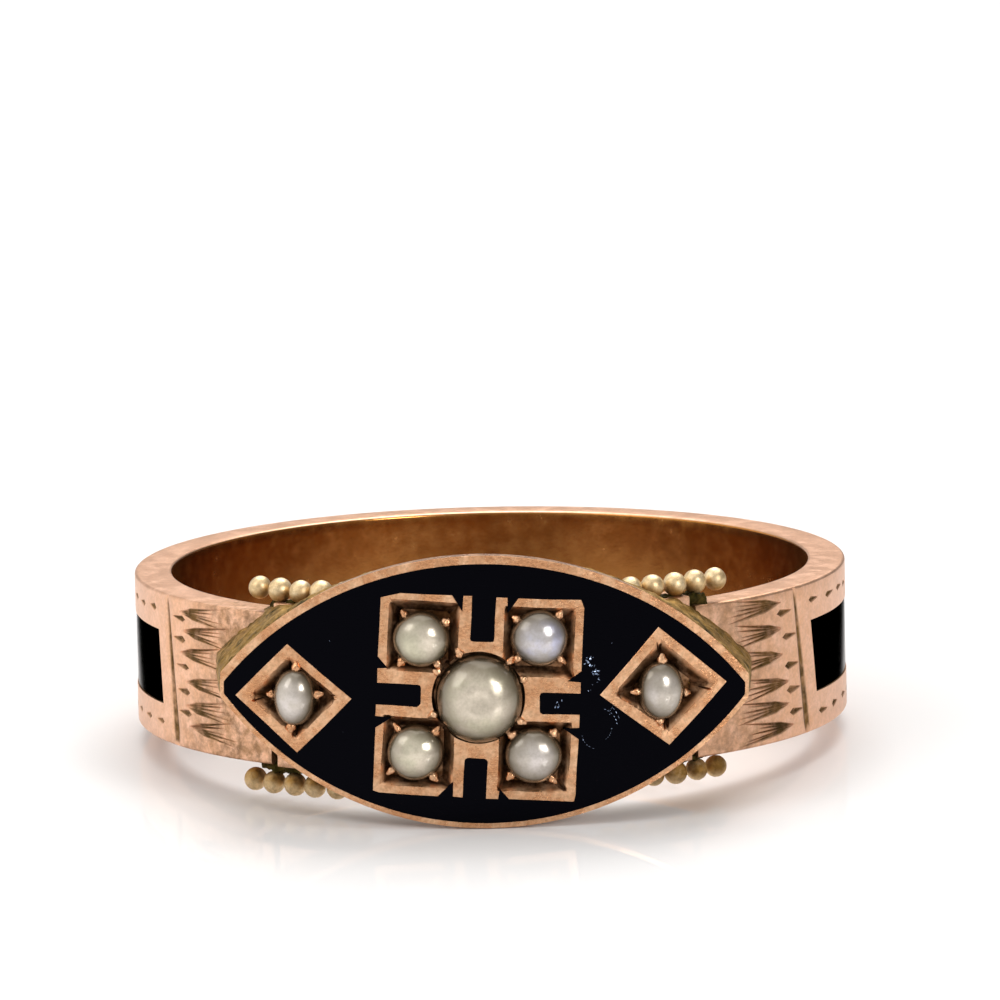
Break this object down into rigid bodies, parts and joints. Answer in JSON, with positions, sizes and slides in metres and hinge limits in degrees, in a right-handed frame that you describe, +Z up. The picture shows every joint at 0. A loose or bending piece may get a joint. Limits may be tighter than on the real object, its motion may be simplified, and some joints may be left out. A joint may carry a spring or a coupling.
{
  "type": "mourning ring",
  "caption": "Gold finger ring with a bowed, pointed oval head in black enamel, a cross-shaped cluster of half pearls, beaded edges and engraved shoulders.",
  "frame": {"origin": "bottom centre of the ring's box, on the surface that it rests on", "axes": "+Z up from the surface, +Y from the head at the front towards the back of the band, +X to the right seen from the front"},
  "size_m": [0.0192, 0.0209, 0.0071],
  "materials": {
    "rose_gold": "satin, rubbed bright on edges, tarnished round the beads",
    "black_enamel": "gloss, with small chips and scratches",
    "pearl": "soft lustre"
  },
  "bodies": {
    "root": {"gold_body": "rose_gold", "head_enamel": "black_enamel", "side_enamel_left": "black_enamel", "side_enamel_right": "black_enamel", "pearl_centre": "pearl", "pearl_upper_left": "pearl", "pearl_upper_right": "pearl", "pearl_lower_left": "pearl", "pearl_lower_right": "pearl", "pearl_left": "pearl", "pearl_right": "pearl"}
  },
  "joints": []
}
